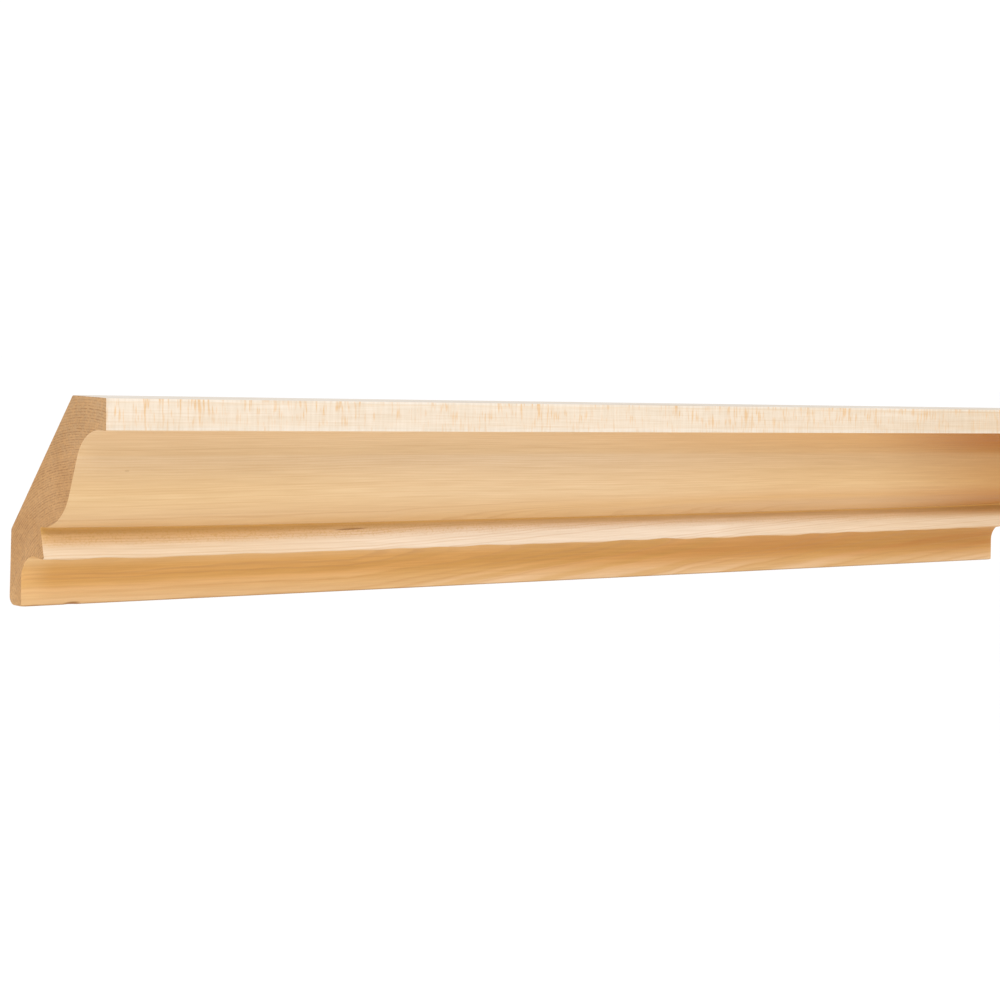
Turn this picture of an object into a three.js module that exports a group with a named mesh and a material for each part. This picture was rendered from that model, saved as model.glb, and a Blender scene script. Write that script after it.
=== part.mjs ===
// One straight length of hardwood crown moulding, moulded from a single board
// and cut square at both ends. It bridges the corner between a wall and a ceiling.
//
// Millimetres. +X runs along the moulding, +Y faces the wall and -Y the room,
// +Z faces the ceiling. The origin is on the wall face, half-way along the
// moulding and half-way up that face.
import * as THREE from "three";

// Driving dimensions of the piece as it stands against wall and ceiling.
const LENGTH = 467;
const DROP = 64.8; // down the wall, from the ceiling to the bottom edge
const PROJECTION = 51.2; // out from the wall, to the lower edge of the top fillet
const SPRING_ANGLE = 38; // degrees between the sloping back and the wall
const WALL_FACE_HEIGHT = 23;

// The front, from the ceiling down.
const TOP_FILLET_HEIGHT = 9.6;
const FILLET_LEAN = 2.5; // degrees off plumb of the top fillet and the foot, out at the bottom
const SOFFIT_WIDTH = 3.5; // flat under the top fillet, before the cove starts
const COVE_RADIUS = 12.2;
const FLANK_LEAN = 18.4; // degrees off plumb of the flat between cove and nose
const NOSE_RADIUS = 15.2;
const STEP_HEIGHT = 24.9; // underside of the nose, above the bottom edge
const STEP_DEPTH = 16.8; // inner corner under the nose, out from the wall
const LIP_HEIGHT = 14.9; // lower edge of the middle fillet, above the bottom edge
const LIP_DEPTH = 19.5; // the same edge, out from the wall
const UNDERCUT_RISE = 8.2; // degrees that the lip's underside climbs towards the wall
const UNDERCUT_RADIUS = 7;
const FOOT_DEPTH = 7; // bottom of the flat lower front, out from the wall

// How far each corner is eased by machining and handling.
const SHARP_ARRIS = 0.4;
const LIP_EASE = 0.7;
const CEILING_BACK_EASE = 1;
const WALL_TOP_EASE = 1.5;
const WALL_BOTTOM_EASE = 2.8;

// The furthest that an arc's flats may lie inside the true curve.
const ARC_TOLERANCE = 0.006;

const MAPLE = { color: 0xe4bb8c, roughness: 0.45, metalness: 0 };

const slope = (degrees) => Math.tan(THREE.MathUtils.degToRad(degrees));

// Points of the arc that rounds a corner of the outline, convex or hollow.
function roundedCorner(before, corner, after, radius) {
  const back = before.clone().sub(corner).normalize();
  const onward = after.clone().sub(corner).normalize();
  const halfAngle = Math.acos(back.dot(onward)) / 2;
  const reach = radius / Math.tan(halfAngle);
  const start = corner.clone().addScaledVector(back, reach);
  const end = corner.clone().addScaledVector(onward, reach);
  const centre = back.clone().add(onward).normalize();
  centre.multiplyScalar(radius / Math.sin(halfAngle)).add(corner);

  const turn = Math.PI - 2 * halfAngle;
  const flatTurn = 2 * Math.acos(1 - ARC_TOLERANCE / radius);
  const clockwise = back.cross(onward) > 0;
  const arc = new THREE.EllipseCurve(
    centre.x, centre.y, radius, radius,
    start.sub(centre).angle(), end.sub(centre).angle(), clockwise,
  );
  return arc.getPoints(Math.ceil(turn / flatTurn));
}

// The flat faces meet at these corners before each one is rounded. A corner is
// given by its distance out from the wall and its height above the bottom edge.
function sectionCorners() {
  const backCorner = (DROP - WALL_FACE_HEIGHT) * slope(SPRING_ANGLE);
  const soffit = DROP - TOP_FILLET_HEIGHT;
  const coveTangent = COVE_RADIUS * slope((90 - FLANK_LEAN) / 2);
  const coveCorner = PROJECTION - SOFFIT_WIDTH - coveTangent;
  const noseCorner = coveCorner - (soffit - STEP_HEIGHT) * slope(FLANK_LEAN);
  const topFront = PROJECTION - TOP_FILLET_HEIGHT * slope(FILLET_LEAN);
  // The lip's underside and the leaning foot meet here.
  const undercutClimb = LIP_HEIGHT + (LIP_DEPTH - FOOT_DEPTH) * slope(UNDERCUT_RISE);
  const undercutUp = undercutClimb / (1 - slope(UNDERCUT_RISE) * slope(FILLET_LEAN));
  const undercutOut = FOOT_DEPTH - undercutUp * slope(FILLET_LEAN);
  return [
    { out: 0, up: 0, ease: WALL_BOTTOM_EASE },
    { out: 0, up: WALL_FACE_HEIGHT, ease: WALL_TOP_EASE },
    { out: backCorner, up: DROP, ease: CEILING_BACK_EASE },
    { out: topFront, up: DROP, ease: SHARP_ARRIS },
    { out: PROJECTION, up: soffit, ease: SHARP_ARRIS },
    { out: coveCorner, up: soffit, ease: COVE_RADIUS },
    { out: noseCorner, up: STEP_HEIGHT, ease: NOSE_RADIUS },
    { out: STEP_DEPTH, up: STEP_HEIGHT, ease: SHARP_ARRIS },
    { out: LIP_DEPTH, up: LIP_HEIGHT, ease: LIP_EASE },
    { out: undercutOut, up: undercutUp, ease: UNDERCUT_RADIUS },
    { out: FOOT_DEPTH, up: 0, ease: SHARP_ARRIS },
  ];
}

// The section in its own plane: x towards the wall, y up, about the origin.
function sectionShape() {
  const corners = sectionCorners();
  const points = corners.map(({ out, up }) => new THREE.Vector2(-out, up - WALL_FACE_HEIGHT / 2));
  const count = points.length;
  const outline = corners.flatMap(({ ease }, i) => {
    const before = points[(i + count - 1) % count];
    const after = points[(i + 1) % count];
    return roundedCorner(before, points[i], after, ease);
  });
  return new THREE.Shape(outline);
}

function crownMoulding() {
  const geometry = new THREE.ExtrudeGeometry(sectionShape(), { depth: LENGTH, bevelEnabled: false });
  const mesh = new THREE.Mesh(geometry, new THREE.MeshStandardMaterial(MAPLE));
  mesh.name = "crown_moulding";

  // The section's x and y become Y and Z, and its sweep runs along X.
  const towardsWall = new THREE.Vector3(0, 1, 0);
  const up = new THREE.Vector3(0, 0, 1);
  const along = new THREE.Vector3(1, 0, 0);
  mesh.quaternion.setFromRotationMatrix(new THREE.Matrix4().makeBasis(towardsWall, up, along));
  mesh.position.x = -LENGTH / 2;
  return mesh;
}

const model = new THREE.Group();
model.add(crownMoulding());

export default model;
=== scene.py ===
import math

import bpy
from mathutils import Matrix, Vector


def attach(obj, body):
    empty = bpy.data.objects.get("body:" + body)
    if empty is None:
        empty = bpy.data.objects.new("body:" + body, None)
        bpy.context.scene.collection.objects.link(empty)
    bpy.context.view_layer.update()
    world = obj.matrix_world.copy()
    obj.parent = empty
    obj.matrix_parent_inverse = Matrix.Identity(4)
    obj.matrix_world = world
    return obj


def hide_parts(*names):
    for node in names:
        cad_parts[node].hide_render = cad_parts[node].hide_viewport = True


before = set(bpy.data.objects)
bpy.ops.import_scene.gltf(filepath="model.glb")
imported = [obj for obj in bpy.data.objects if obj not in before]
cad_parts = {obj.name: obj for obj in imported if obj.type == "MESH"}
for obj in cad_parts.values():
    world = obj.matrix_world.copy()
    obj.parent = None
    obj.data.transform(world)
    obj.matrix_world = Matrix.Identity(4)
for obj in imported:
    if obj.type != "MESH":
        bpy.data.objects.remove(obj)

bpy.context.view_layer.update()


# The moulding is one straight run of hard maple, planed and then moulded to its
# section by a set of profiled cutters, and cut square at both ends by a saw.
# It leans between wall and ceiling and is nailed through to both.
class Value:
    """A value in a node tree. Arithmetic on it adds the tree's Math nodes."""

    def __init__(self, tree, socket=None):
        self.tree = tree
        self.socket = socket

    def node(self, kind, settings=None, inputs=None):
        """Adds one node, with its settings first and then its sockets."""
        made = self.tree.nodes.new(kind)
        for name, setting in (settings or {}).items():
            if name == "stops":
                ramp = made.color_ramp.elements
                while len(ramp) < len(setting):
                    ramp.new(0.5)
                for element, (place, colour) in zip(ramp, setting):
                    element.position = place
                    element.color = (*colour, 1)
            else:
                setattr(made, name, setting)
        for name, given in (inputs or {}).items():
            socket = self.find(made.inputs, name)
            if isinstance(given, Value):
                self.tree.links.new(given.socket, socket)
            else:
                socket.default_value = given
        return made

    def make(self, kind, settings=None, inputs=None, output=0):
        """Adds one node and returns one of its outputs."""
        return Value(self.tree, self.find(self.node(kind, settings, inputs).outputs, output))

    @staticmethod
    def find(sockets, name):
        if isinstance(name, int):
            return sockets[name]
        return next((s for s in sockets if s.identifier == name), None) or sockets[name]

    def math(self, operation, *others):
        return self.make("ShaderNodeMath", {"operation": operation}, dict(enumerate((self, *others))))

    def __add__(self, other):
        return self.math("ADD", other)

    def __sub__(self, other):
        return self.math("SUBTRACT", other)

    def __mul__(self, other):
        return self.math("MULTIPLY", other)

    def __truediv__(self, other):
        return self.math("DIVIDE", other)

    def __pow__(self, other):
        return self.math("POWER", other)

    def __rsub__(self, other):
        return (self * -1).math("ADD", other)

    def __neg__(self):
        return self * -1

    __radd__ = __add__

    def rise(self, start, end):
        """0 before start, 1 after end and a smooth step between."""
        settings = {"interpolation_type": "SMOOTHSTEP", "clamp": True}
        return self.make("ShaderNodeMapRange", settings, {"Value": self, "From Min": start, "From Max": end})


MM = 0.001
LENGTH = 467 * MM
DROP = 64.8 * MM
PROJECTION = 51.2 * MM
WALL_FACE_HEIGHT = 23 * MM
TOP_FILLET_HEIGHT = 9.6 * MM
SOFFIT_WIDTH = 3.5 * MM
COVE_RADIUS = 12.2 * MM
NOSE_RADIUS = 15.2 * MM
STEP_HEIGHT = 24.9 * MM
STEP_DEPTH = 16.8 * MM
LIP_HEIGHT = 14.9 * MM
LIP_DEPTH = 19.5 * MM
FOOT_DEPTH = 7 * MM
BACK_SLOPE = math.tan(math.radians(38))
FLANK_ANGLE = 18.4
FLANK_SLOPE = math.tan(math.radians(FLANK_ANGLE))
FILLET_SLOPE = math.tan(math.radians(2.5))
UNDERCUT_SLOPE = math.tan(math.radians(8.2))

# The section's corners, each with the radius that rounds it.
soffit = DROP - TOP_FILLET_HEIGHT
cove = PROJECTION - SOFFIT_WIDTH - COVE_RADIUS * math.tan(math.radians((90 - FLANK_ANGLE) / 2))
undercut = LIP_HEIGHT + (LIP_DEPTH - FOOT_DEPTH) * UNDERCUT_SLOPE
undercut = undercut / (1 - UNDERCUT_SLOPE * FILLET_SLOPE)
corners = [
    (0, 0, 2.8 * MM),
    (0, WALL_FACE_HEIGHT, 1.5 * MM),
    ((DROP - WALL_FACE_HEIGHT) * BACK_SLOPE, DROP, 1 * MM),
    (PROJECTION - TOP_FILLET_HEIGHT * FILLET_SLOPE, DROP, 0.4 * MM),
    (PROJECTION, soffit, 0.4 * MM),
    (cove, soffit, COVE_RADIUS),
    (cove - (soffit - STEP_HEIGHT) * FLANK_SLOPE, STEP_HEIGHT, NOSE_RADIUS),
    (STEP_DEPTH, STEP_HEIGHT, 0.4 * MM),
    (LIP_DEPTH, LIP_HEIGHT, 0.7 * MM),
    (FOOT_DEPTH - undercut * FILLET_SLOPE, undercut, 7 * MM),
    (FOOT_DEPTH, 0, 0.4 * MM),
]
section = bpy.data.meshes.new("moulding_section")
section.from_pydata(
    [(-out, up - WALL_FACE_HEIGHT / 2, 0) for out, up, ease in corners],
    [(i, (i + 1) % len(corners)) for i in range(len(corners))],
    [],
)
rounding = section.attributes.new("rounding", "FLOAT", "POINT")
rounding.data.foreach_set("value", [ease for out, up, ease in corners])

# A tree that does what the cutters and the saw do: it rounds the corners, runs
# the section along X and closes both ends with a sawn face.
run = bpy.data.node_groups.new("moulded_run", "GeometryNodeTree")
identifiers = {}
for name, kind in (
    ("Section", "NodeSocketGeometry"),
    ("Length", "NodeSocketFloat"),
    ("Spacing", "NodeSocketFloat"),
    ("Sawn edge", "NodeSocketFloat"),
    ("Nick depth", "NodeSocketFloat"),
    ("Lip wave", "NodeSocketFloat"),
    ("Sag", "NodeSocketFloat"),
    ("Long grain", "NodeSocketMaterial"),
    ("End grain", "NodeSocketMaterial"),
    ("Bare back", "NodeSocketMaterial"),
):
    identifiers[name] = run.interface.new_socket(name, in_out="INPUT", socket_type=kind).identifier
run.interface.new_socket("Moulding", in_out="OUTPUT", socket_type="NodeSocketGeometry")
group_input = run.nodes.new("NodeGroupInput")
size = {name: Value(run, group_input.outputs[name]) for name in identifiers}
tree = Value(run)

radius = tree.make("GeometryNodeInputNamedAttribute", {"data_type": "FLOAT"}, {"Name": "rounding"})
outline = tree.make("GeometryNodeMeshToCurve", {}, {"Mesh": size["Section"]})
# A wider rounding is cut into more flats.
outline = tree.make("GeometryNodeFilletCurve", {"mode": "POLY"}, {
    "Curve": outline,
    "Radius": radius,
    "Count": (radius / MM).math("SQRT") * 5 + 3,
})
here = tree.make("GeometryNodeInputPosition")
following = tree.make("GeometryNodeOffsetPointInCurve", {}, {"Offset": 1}, "Point Index")
there = tree.make("GeometryNodeFieldAtIndex", {"data_type": "FLOAT_VECTOR"}, {
    "Value": here,
    "Index": following,
})
stretch = tree.make("ShaderNodeVectorMath", {"operation": "DISTANCE"}, {0: here, 1: there}, "Value")
outline = tree.make("GeometryNodeSubdivideCurve", {}, {
    "Curve": outline,
    "Cuts": (stretch / size["Spacing"]).math("FLOOR"),
})
# Each point keeps its way into the wood, for the saw's broken edge.
along = tree.make("GeometryNodeInputTangent")
along_x = tree.make("ShaderNodeSeparateXYZ", {}, {0: along}, "X")
along_y = tree.make("ShaderNodeSeparateXYZ", {}, {0: along}, "Y")
outline = tree.make("GeometryNodeStoreNamedAttribute", {"data_type": "FLOAT_VECTOR"}, {
    "Geometry": outline,
    "Name": "inward",
    "Value": tree.make("ShaderNodeCombineXYZ", {}, {"X": -along_y, "Y": along_x}),
})
far_end = tree.make("ShaderNodeCombineXYZ", {}, {"Z": size["Length"]})
path = tree.make("GeometryNodeCurvePrimitiveLine", {}, {"End": far_end})
path = tree.make("GeometryNodeResampleCurve", {}, {
    "Curve": path,
    "Count": size["Length"] / size["Spacing"],
})
board = tree.make("GeometryNodeCurveToMesh", {}, {
    "Curve": path,
    "Profile Curve": outline,
    "Fill Caps": True,
})
place = {axis: tree.make("ShaderNodeSeparateXYZ", {}, {0: here}, axis) for axis in "XYZ"}
END_TOLERANCE = 0.01 * MM
from_middle = place["Z"] - size["Length"] / 2
at_end = from_middle.math("ABSOLUTE").math("GREATER_THAN", size["Length"] / 2 - END_TOLERANCE)
inward = tree.make("GeometryNodeInputNamedAttribute", {"data_type": "FLOAT_VECTOR"}, {"Name": "inward"})
chamfer = tree.make("ShaderNodeVectorMath", {"operation": "SCALE"}, {
    0: inward,
    "Scale": at_end * size["Sawn edge"],
})
board = tree.make("GeometryNodeSetPosition", {}, {"Geometry": board, "Offset": chamfer})
# The sweep ran up Z, so the board is laid down along X, half of it on each side.
stood_up = tree.make("ShaderNodeCombineXYZ", {}, {"X": from_middle, "Y": place["X"], "Z": place["Y"]})
board = tree.make("GeometryNodeSetPosition", {}, {"Geometry": board, "Position": stood_up})
# A knock has dented the bottom arris of the foot near the left end.
NICK_PLACE = (-216.5 * MM, -FOOT_DEPTH, -WALL_FACE_HEIGHT / 2)
NICK_REACH = (2.6 * MM, 1.3 * MM, 1.3 * MM)
nick = tree.make("ShaderNodeVectorMath", {"operation": "SUBTRACT"}, {0: here, 1: NICK_PLACE})
nick = tree.make("ShaderNodeVectorMath", {"operation": "DIVIDE"}, {0: nick, 1: NICK_REACH})
nick = tree.make("ShaderNodeVectorMath", {"operation": "LENGTH"}, {0: nick}, "Value")
push = tree.make("ShaderNodeVectorMath", {"operation": "SCALE"}, {
    0: (0, 1, 1),
    "Scale": (1 - nick.rise(0.2, 1)) * size["Nick depth"],
})
board = tree.make("GeometryNodeSetPosition", {}, {"Geometry": board, "Offset": push})
# Between the ends the nose's lower edge hangs a little low, and the lip by a
# share of that. The cutter has torn the lip, so that its arris isn't straight.
SAG_REACH = 240 * MM
LIP_SAG_SHARE = 0.3
WAVER_PITCH = 17 * MM
from_nose, from_lip = (
    tree.make("ShaderNodeVectorMath", {"operation": "LENGTH"}, {
        0: tree.make("ShaderNodeVectorMath", {"operation": "MULTIPLY_ADD"}, {
            0: here, 1: (0, 1, 1), 2: (0, depth, WALL_FACE_HEIGHT / 2 - height),
        }),
    }, "Value")
    for depth, height in ((STEP_DEPTH + 0.7 * MM, STEP_HEIGHT), (LIP_DEPTH, LIP_HEIGHT))
)
sag = (1 - (place["X"] / SAG_REACH) ** 4) * size["Sag"]
waver = {"W": place["X"] / WAVER_PITCH, "Scale": 1.0, "Detail": 0.0}
wave = tree.make("ShaderNodeTexNoise", {"noise_dimensions": "1D"}, waver, "Fac")
torn = (wave - 0.5) * size["Lip wave"] - sag * LIP_SAG_SHARE
lowered = torn * (1 - from_lip.rise(0.4 * MM, 2.4 * MM)) - sag * (1 - from_nose.rise(1.2 * MM, 6 * MM))
board = tree.make("GeometryNodeSetPosition", {}, {
    "Geometry": board,
    "Offset": tree.make("ShaderNodeCombineXYZ", {}, {"Z": lowered}),
})
SHARP_TURN = math.radians(35)
edge_turn = tree.make("GeometryNodeInputMeshEdgeAngle")
board = tree.make("GeometryNodeSetShadeSmooth", {"domain": "EDGE"}, {
    "Geometry": board,
    "Selection": edge_turn.math("GREATER_THAN", SHARP_TURN),
    "Shade Smooth": False,
})
# What faces the wall or the ceiling is left bare, and the ends are end grain.
facing = tree.make("GeometryNodeInputNormal")
facing_x, facing_y, facing_z = (tree.make("ShaderNodeSeparateXYZ", {}, {0: facing}, axis) for axis in "XYZ")
board = tree.make("GeometryNodeRealizeInstances", {}, {"Geometry": board})
board = tree.make("GeometryNodeSetMaterial", {}, {"Geometry": board, "Material": size["Long grain"]})
board = tree.make("GeometryNodeSetMaterial", {}, {
    "Geometry": board,
    "Selection": facing_y.math("MAXIMUM", facing_z).math("GREATER_THAN", 0.6),
    "Material": size["Bare back"],
})
board = tree.make("GeometryNodeSetMaterial", {}, {
    "Geometry": board,
    "Selection": facing_x.math("ABSOLUTE").math("GREATER_THAN", 0.5),
    "Material": size["End grain"],
})
tree.node("NodeGroupOutput", {}, {0: board})

# Hard maple. Its rings, rays and fibres are set out round the heart of the tree,
# so each face shows them as it was cut: fine lines and upright flecks where it
# runs towards the heart, long slow waves where it lies along the rings.
HEART_Y = -38.7  # mm: out in front of the foot
HEART_Z = -23.7  # mm: below the foot
RING_PITCH = 0.8  # mm
MEAN_RADIUS = 50  # mm from the heart to the middle of the board


def figured(name):
    """A material, its tree, and the figure in mm that all the board's faces share."""
    material = bpy.data.materials.new(name)
    material.use_nodes = True
    material.node_tree.nodes.clear()
    wood = Value(material.node_tree)
    metres = wood.make("ShaderNodeTexCoord", {}, {}, "Object")
    spot = wood.make("ShaderNodeVectorMath", {"operation": "SCALE"}, {0: metres, "Scale": 1 / MM})
    x, y, z = (wood.make("ShaderNodeSeparateXYZ", {}, {0: spot}, axis) for axis in "XYZ")

    def point(x, y, z):
        return wood.make("ShaderNodeCombineXYZ", {}, {"X": x, "Y": y, "Z": z})

    def noise(x, y, z, detail=2.0, output="Fac"):
        inputs = {"Vector": point(x, y, z), "Scale": 1.0, "Detail": detail}
        return wood.make("ShaderNodeTexNoise", {}, inputs, output)

    # The grain drifts slowly from a straight line, and each ring waves a little.
    drift = noise(x / 170, y / 60, z / 60, 1.0, "Color")
    sway, lift = (wood.make("ShaderNodeSeparateColor", {}, {0: drift}, c) - 0.5 for c in ("Red", "Green"))
    wave = noise(x / 30, y / 14 + 5, z / 14, 2.0) - 0.5
    across = y - HEART_Y + sway * 4
    above = z - HEART_Z + lift * 4
    out = (across * across + above * above).math("SQRT")
    # Near the heart the grain climbs to the right, past the board's first quarter.
    climb = (x + 110).math("MAXIMUM", 0) * 0.055 * (1 - out.rise(39, 47))
    grown = out + wave * 1.2 - climb
    around = above.math("ARCTAN2", across) * MEAN_RADIUS
    years = grown / RING_PITCH + noise(grown / 8, 3.7, 0.4, 1.0) * 3.0
    year = years.math("FRACT")
    late = year.rise(0.40, 0.85) * (1 - year.rise(0.92, 1.0))
    vigour = noise(years.math("FLOOR") * 0.77, 0.3, 0.9, 0.0).rise(0.42, 0.66)
    figure = {
        "x": x,
        "y": y,
        "z": z,
        "out": out,
        "grown": grown,
        "noise": noise,
        "late": late,
        "rings": late * (vigour * 0.8 + 0.2),
        "rays": noise(x / 0.8, out / 8, around / 0.9, 1.0).rise(0.50, 0.70),
        "hatch": noise(x / 0.8, out / 12, around / 4, 0.0),
        "fibres": noise(x / 20, y / 0.5, z / 0.5, 3.0),
        "streaks": noise(x / 80, y / 1.1, z / 1.1, 2.0),
        "clouds": noise(x / 55, y / 10, z / 10, 2.0),
    }
    # "quarter" is 1 on a face that runs towards the heart, across the rings.
    normal = wood.make("ShaderNodeNewGeometry", {}, {}, "Normal")
    ray = wood.make("ShaderNodeVectorMath", {"operation": "NORMALIZE"}, {0: point(0.0, across, above)})
    cut = wood.make("ShaderNodeVectorMath", {"operation": "DOT_PRODUCT"}, {0: normal, 1: ray}, "Value")
    figure["quarter"] = 1 - cut.math("ABSOLUTE").rise(0.14, 0.42)
    return material, wood, figure


def mixed(factor, a, b, blend="MIX"):
    """Colour a where the factor is 0, and b, or a blended with b, where it is 1."""
    settings = {"data_type": "RGBA", "blend_type": blend}
    inputs = {"Factor_Float": factor, "A_Color": a, "B_Color": b}
    return factor.make("ShaderNodeMix", settings, inputs, "Result_Color")


def toned(colour, tone):
    """The colour made lighter or darker by a factor, and warmer where it is darker."""
    tint = tone.make("ShaderNodeCombineXYZ", {}, {"X": tone ** 0.7, "Y": tone, "Z": tone ** 1.5})
    return tone.make("ShaderNodeVectorMath", {"operation": "MULTIPLY"}, {0: colour, 1: tint})


def finished(wood, colour, roughness, height, depth, gloss):
    """Ends a material's tree: its colour, its sheen, and relief of a depth in metres."""
    bump = wood.make("ShaderNodeBump", {}, {"Strength": 1.0, "Distance": depth, "Height": height})
    shade = wood.make("ShaderNodeBsdfPrincipled", {}, {
        "Base Color": colour,
        "Roughness": roughness,
        "Normal": bump,
        "Specular IOR Level": gloss,
    })
    wood.node("ShaderNodeOutputMaterial", {}, {"Surface": shade})


# The moulded front: sanded and clear finished. The top fillet lies across the
# rings and shows their flecks. Both fillets are palest, partly from their own
# paler wood and partly as painted sheen and painted light. The foot, near the
# heart, is the most ochre, and its upper part is darker still as painted shade
# under the lip. The cove and the nose take their colour ring by ring.
long_grain, wood, figure = figured("maple_moulded_front")
x, y, z, out, noise = (figure[key] for key in ("x", "y", "z", "out", "noise"))
ringwise = wood.make("ShaderNodeValToRGB", {"stops": [
    (0.00, (0.610, 0.360, 0.160)),
    (0.12, (0.640, 0.375, 0.150)),
    (0.22, (0.645, 0.396, 0.182)),
    (0.36, (0.662, 0.437, 0.216)),
    (0.56, (0.605, 0.388, 0.186)),
    (0.70, (0.650, 0.423, 0.212)),
    (0.82, (0.690, 0.447, 0.228)),
    (1.00, (0.700, 0.480, 0.270)),
]}, {"Fac": (figure["grown"] - 33) / 40}, "Color")
# Most of what changes along the board does so on a slant, sooner where it stands
# further out. The lip and the nose's lower edge are followed as they hang.
SLANT = 1.38
far = x - y * SLANT
rightward = x.rise(-190, -60)
right_end = far.rise(150, 265)
sag = 1 - (x / (SAG_REACH / MM)) ** 4
lip = (LIP_HEIGHT - WALL_FACE_HEIGHT / 2) / MM - 0.4 - sag * LIP_SAG_SHARE
nose_edge = (STEP_HEIGHT - WALL_FACE_HEIGHT / 2) / MM - sag
# Painted light and shade: the middle fillet is pale only in its lower part; its upper part, in the shade
# under the nose, keeps the darker colour.
middle_fillet = (z - lip).rise(0, 1.5) * (1 - z.rise(6.0 + rightward * 0.9, 10.5 + rightward * 1.6))
middle_fillet = middle_fillet * (1 - y.rise(-15.5, -13.5))
quarter = figure["quarter"].math("MAXIMUM", z.rise(52, 52.5)) * z.rise(13, 20)
pale = quarter.math("MAXIMUM", middle_fillet)
foot = 1 - (z - lip).rise(0, 0.6)
# Painted shade: the foot is darker and more ochre towards its top, under the lip.
foot_shade = z.rise(-11.5, -3.0)
foot_colour = mixed(foot_shade, (0.654, 0.418, 0.218, 1), (0.650, 0.335, 0.090, 1))
# Painted light: a band at the top of the foot, just under the lip, is lighter, less so towards the right.
# The foot is also paler near the left end.
paler_foot = z.rise(-0.8, 3.2) * (0.7 - far.rise(-100, 200) * 0.5) + (1 - x.rise(-230, -222)) * 0.3
foot_colour = mixed(paler_foot, foot_colour, (0.740, 0.470, 0.220, 1))
middle = far.rise(-150, -20) * (1 - far.rise(20, 160))
flank = (1 - z.rise(34, 38)) * z.rise(17, 24)
flank_colour = mixed(middle * flank * 0.45, ringwise, (0.665, 0.465, 0.275, 1))
colour = mixed(foot, flank_colour, foot_colour)
colour = mixed(quarter, colour, (0.700, 0.600, 0.480, 1))
palest = rightward * (1 - far.rise(40, 190))
fillet_colour = mixed(palest, (0.710, 0.532, 0.352, 1), (0.735, 0.588, 0.440, 1))
colour = mixed(middle_fillet, colour, fillet_colour)
# Painted shade, for light that falls off towards the right end: the front darkens
# and warms that way, most of all in the top of the cove, and the fillets are
# mostly spared.
cove_top = z.rise(31, 41) * (1 - pale)
painted_falloff_shade = far.rise(-60, 200) * (0.15 + cove_top * 0.38)
painted_end_shade = right_end * (0.65 + (1 - z.rise(14, 24)) * 0.33 + cove_top * 0.45)
foot_painted_end_shade = (far.rise(-150, 200) * 0.48 + right_end * 0.25) * foot_shade
painted_end_shade = painted_end_shade * (1 - foot) + foot_painted_end_shade * foot
colour = mixed(painted_falloff_shade * (1 - foot) * (1 - pale * 0.9), colour, (0.82, 0.50, 0.00, 1), "MULTIPLY")
colour = mixed(painted_end_shade * (1 - pale * 0.9), colour, (0.63, 0.37, 0.00, 1), "MULTIPLY")
# Broad ochre bands and fine lines follow the rings, strongest near the heart.
near_heart = 1 - out.rise(40, 46)
bands = noise(figure["grown"] / 1.6, 9.3, x / 300, 1.0).rise(0.42, 0.62)
colour = mixed(bands * foot * near_heart * (0.25 + rightward * 0.2), colour, (0.52, 0.27, 0.055, 1))
lined = 0.20 - pale * 0.10 + near_heart * 0.16
colour = mixed(figure["rings"] * lined, colour, (0.50, 0.25, 0.08, 1))
flecked = noise(x / 12, out / 4, 1.7, 2.0).rise(0.30, 0.60) * (z.rise(43, 49) * 0.6 + 0.4)
colour = mixed(figure["rays"] * flecked * (quarter * 0.75 + 0.06), colour, (0.66, 0.40, 0.18, 1))
# Dark speckle is painted as part of the shade under the nose, strongest at the left.
speckle = noise(x / 0.8, y / 0.5, z / 0.5, 1.0).rise(0.5, 0.66)
under_nose = (1 - (z - nose_edge).rise(-0.2, 0.1)) * z.rise(6.5, 9.5)
colour = mixed(speckle * under_nose * (0.5 - x.rise(-150, 0) * 0.3), colour, (0.55, 0.30, 0.08, 1))
# Painted shade: the corners under the nose and the lip are darkened to amber.
for corner_y, corner_z, reach, strength in (
    (-STEP_DEPTH / MM, nose_edge, 3.6 - rightward * 2.2, 0.75),
    (-FOOT_DEPTH / MM, 6, 4.5, 0.35),
):
    off_y = y - corner_y
    off_z = z - corner_z
    near = 1 - (off_y * off_y + off_z * off_z).math("SQRT").rise(0.2, reach)
    colour = mixed(near * strength, colour, (0.62, 0.33, 0.07, 1))
# A thin dark painted shadow line runs just under the nose's lower edge, darker towards the right end.
painted_shadow_line = (z - nose_edge + 1.5).math("ABSOLUTE").rise(0.3, 1.1)
painted_shadow_line = (1 - painted_shadow_line) * (1 - y.rise(-15.5, -15)) * y.rise(-19.5, -19)
colour = mixed(painted_shadow_line * (0.3 + right_end * 0.2), colour, (0.42, 0.22, 0.05, 1))
# A torn dash under the nose, two knocks on the bottom arris, and a speck.
for mark_x, mark_z, half_length, half_height, fall, strength in (
    (-117.2, 10.2, 8.0, 0.32, -0.02, 0.7),
    (-216.3, -11.5, 4.0, 1.1, -0.08, 0.9),
    (-229.0, -11.5, 3.5, 0.7, 0.0, 0.35),
    (-215.4, 31.1, 1.1, 0.4, 0.0, 0.22),
):
    along = (x - mark_x) / half_length
    off = (z - mark_z + (x - mark_x) * fall) / half_height
    mark = 1 - (along * along + off * off).rise(0.1, 1.0)
    colour = mixed(mark * strength, colour, (0.24, 0.095, 0.02, 1))
# Painted shade: the downward-facing bottom arris is painted dark.
bottom_arris = 1 - z.rise(-11.35, -11.0)
colour = mixed(bottom_arris * 0.8, colour, (0.30, 0.14, 0.04, 1))
tone = 0.78 + figure["fibres"] * 0.32 + figure["streaks"] * 0.14 + figure["clouds"] * 0.08
colour = toned(colour, tone + (figure["hatch"] - 0.5) * quarter * 0.18)
height = figure["fibres"] - figure["rings"] * 0.4 - figure["rays"] * 0.3
finished(wood, colour, 0.42 + figure["fibres"] * 0.16, height, 0.02 * MM, 0.3)

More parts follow.
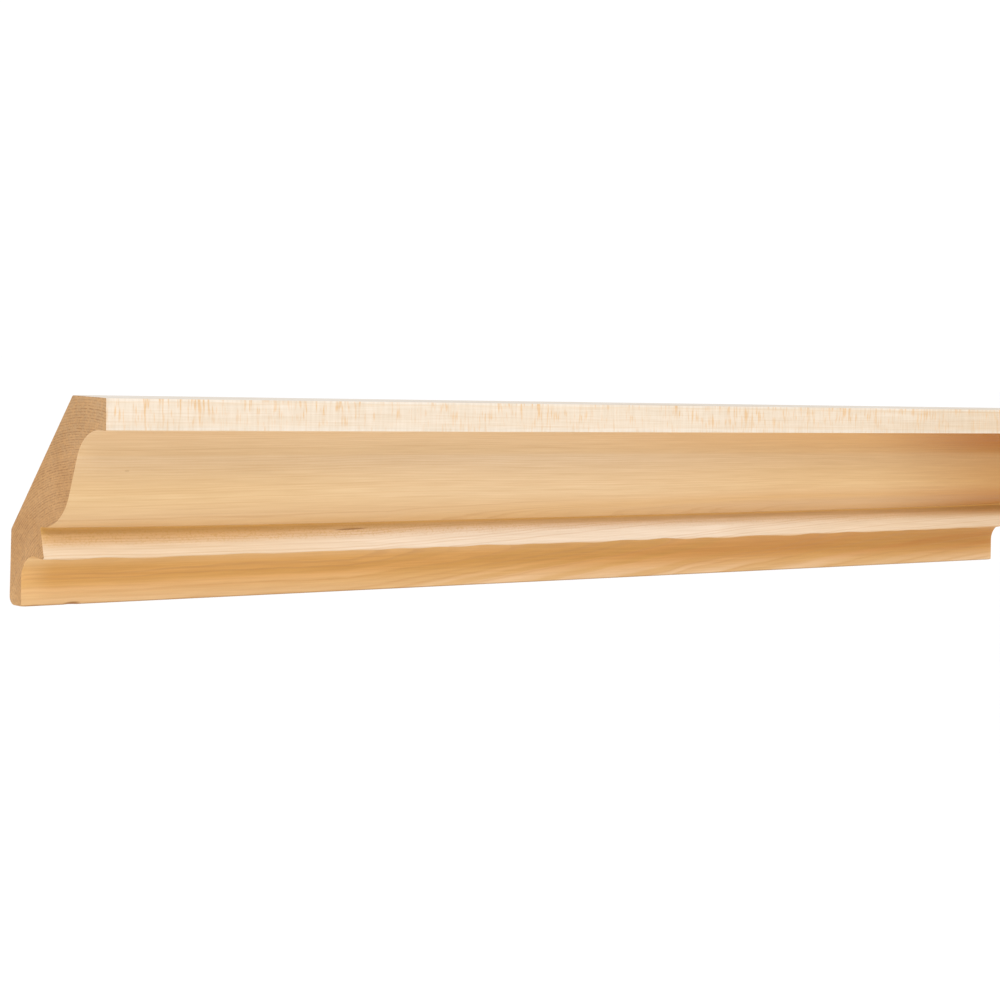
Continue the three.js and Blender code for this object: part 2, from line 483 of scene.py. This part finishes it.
# The wall face, the sloping back and the ceiling face: planed and left bare, so
# duller and greyer than the front, and palest at the ceiling.
bare_back, wood, figure = figured("maple_planed_back")
ceiling_face = figure["z"].rise(52.6, 53.2)
colour = mixed(ceiling_face, (0.590, 0.465, 0.330, 1), (0.620, 0.560, 0.490, 1))
colour = mixed(figure["rings"] * 0.25, colour, (0.42, 0.29, 0.17, 1))
colour = toned(colour, 0.72 + figure["fibres"] * 0.25 + figure["streaks"] * 0.2 + figure["clouds"] * 0.1)
height = figure["fibres"] - figure["rings"] * 0.5
finished(wood, colour, 0.75 + figure["fibres"] * 0.1, height, 0.05 * MM, 0.2)

# The sawn ends: open grain left bare, browner than the front, with the rings'
# edges showing as broken arcs and the pores as dark dots.
end_grain, wood, figure = figured("maple_sawn_end")
x, y, z, noise = (figure[key] for key in ("x", "y", "z", "noise"))
pores = noise(x / 3, y / 0.45, z / 0.45, 1.0).rise(0.5, 0.72)
upper_end = mixed(z.rise(28, 48), (0.505, 0.279, 0.118, 1), (0.500, 0.303, 0.148, 1))
colour = mixed(z.rise(-14, 6), (0.595, 0.350, 0.155, 1), upper_end)
mottle = noise(x / 4, y / 1.0, z / 1.0, 2.0).rise(0.3, 0.7)
colour = mixed(mottle * 0.45, colour, (0.66, 0.36, 0.14, 1))
broken = noise(x / 3, y / 1.3, z / 1.3, 1.0).rise(0.35, 0.6)
colour = mixed(figure["late"] * (broken * 0.36 + 0.07), colour, (0.34, 0.155, 0.055, 1))
colour = mixed(figure["rings"] * (broken * 0.38 + 0.08), colour, (0.30, 0.135, 0.05, 1))
colour = mixed(pores * 0.25, colour, (0.26, 0.13, 0.05, 1))
colour = toned(colour, 0.76 + figure["clouds"] * 0.36 + noise(x / 4, y / 0.7, z / 0.7, 1.0) * 0.1)
height = figure["rings"] * -0.6 - pores
finished(wood, colour, 0.7 + pores * 0.1, height, 0.05 * MM, 0.25)

# The board: the section carries the tree, which runs it once, and the result is
# kept as one plain mesh with the three materials on it. It is the part's only
# piece, so it moves with its only body and stands for its only solid.
moulding = bpy.data.objects.new("moulding_board", section)
bpy.context.scene.collection.objects.link(moulding)
sweep = moulding.modifiers.new("moulded_run", "NODES")
sweep.node_group = run
for name, value in (
    ("Length", LENGTH),
    ("Spacing", 1.5 * MM),
    ("Sawn edge", 0.12 * MM),
    ("Nick depth", 0.12 * MM),
    ("Lip wave", 1.5 * MM),
    ("Sag", 1.0 * MM),
    ("Long grain", long_grain),
    ("End grain", end_grain),
    ("Bare back", bare_back),
):
    sweep[identifiers[name]] = value
evaluated = moulding.evaluated_get(bpy.context.evaluated_depsgraph_get())
moulding.data = bpy.data.meshes.new_from_object(evaluated)
moulding.modifiers.clear()
for name in ("rounding", "inward"):
    moulding.data.attributes.remove(moulding.data.attributes[name])
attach(moulding, "root")
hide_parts("crown_moulding")


# The studio: a pale floor well below the moulding, an even white surround, a
# large soft light above and in front, and a weaker one behind.
FLOOR_REACH = 30
FLOOR_LEVEL = -0.5
floor_mesh = bpy.data.meshes.new("studio_floor")
floor_mesh.from_pydata(
    [(FLOOR_REACH * i, FLOOR_REACH * j, FLOOR_LEVEL) for i, j in ((-1, -1), (1, -1), (1, 1), (-1, 1))],
    [],
    [(0, 1, 2, 3)],
)
floor = bpy.data.objects.new("studio_floor", floor_mesh)
bpy.context.scene.collection.objects.link(floor)
paper = bpy.data.materials.new("white_paper")
paper.use_nodes = True
paper_shade = paper.node_tree.nodes["Principled BSDF"]
paper_shade.inputs["Base Color"].default_value = (0.96, 0.96, 0.96, 1)
paper_shade.inputs["Roughness"].default_value = 0.9
floor_mesh.materials.append(paper)

surround = bpy.data.worlds.new("white_surround")
bpy.context.scene.world = surround
surround.use_nodes = True
sky = Value(surround.node_tree)
surround.node_tree.nodes.clear()
background = sky.make("ShaderNodeBackground", {}, {"Color": (1, 1, 1, 1), "Strength": 1.06})
sky.node("ShaderNodeOutputWorld", {}, {"Surface": background})


def soft_light(name, place, aim, width, height, watts):
    """A white lit panel that hangs at a place and faces another."""
    light = bpy.data.lights.new(name, "AREA")
    light.shape = "RECTANGLE"
    light.size = width
    light.size_y = height
    light.energy = watts
    lamp = bpy.data.objects.new(name, light)
    lamp.location = place
    lamp.rotation_euler = (Vector(aim) - Vector(place)).to_track_quat("-Z", "Y").to_euler()
    bpy.context.scene.collection.objects.link(lamp)


soft_light("key", (-0.45, -1.15, 0.85), (-0.05, 0, 0.02), width=1.3, height=0.5, watts=6)
soft_light("back_fill", (0.5, 1.4, 0.9), (0, 0, 0), width=1.2, height=0.8, watts=3)

# The camera stands where the photograph was taken from: left of the moulding
# and just above it, with a long lens.
EYE = (-0.6302, -0.6716, 0.0761)
TURN_RIGHT = math.radians(41.439)
LOOK_DOWN = math.radians(3.762)
ROLL = math.radians(2.158)
camera = bpy.data.objects.new("camera", bpy.data.cameras.new("camera"))
camera.data.sensor_width = 36
camera.data.lens = 91.7
camera.data.clip_start = 0.01
bpy.context.scene.collection.objects.link(camera)
camera.matrix_world = (
    Matrix.Translation(EYE)
    @ Matrix.Rotation(-TURN_RIGHT, 4, "Z")
    @ Matrix.Rotation(math.pi / 2 - LOOK_DOWN, 4, "X")
    @ Matrix.Rotation(ROLL, 4, "Z")
)
bpy.context.scene.camera = camera
bpy.context.scene.view_settings.view_transform = "Standard"
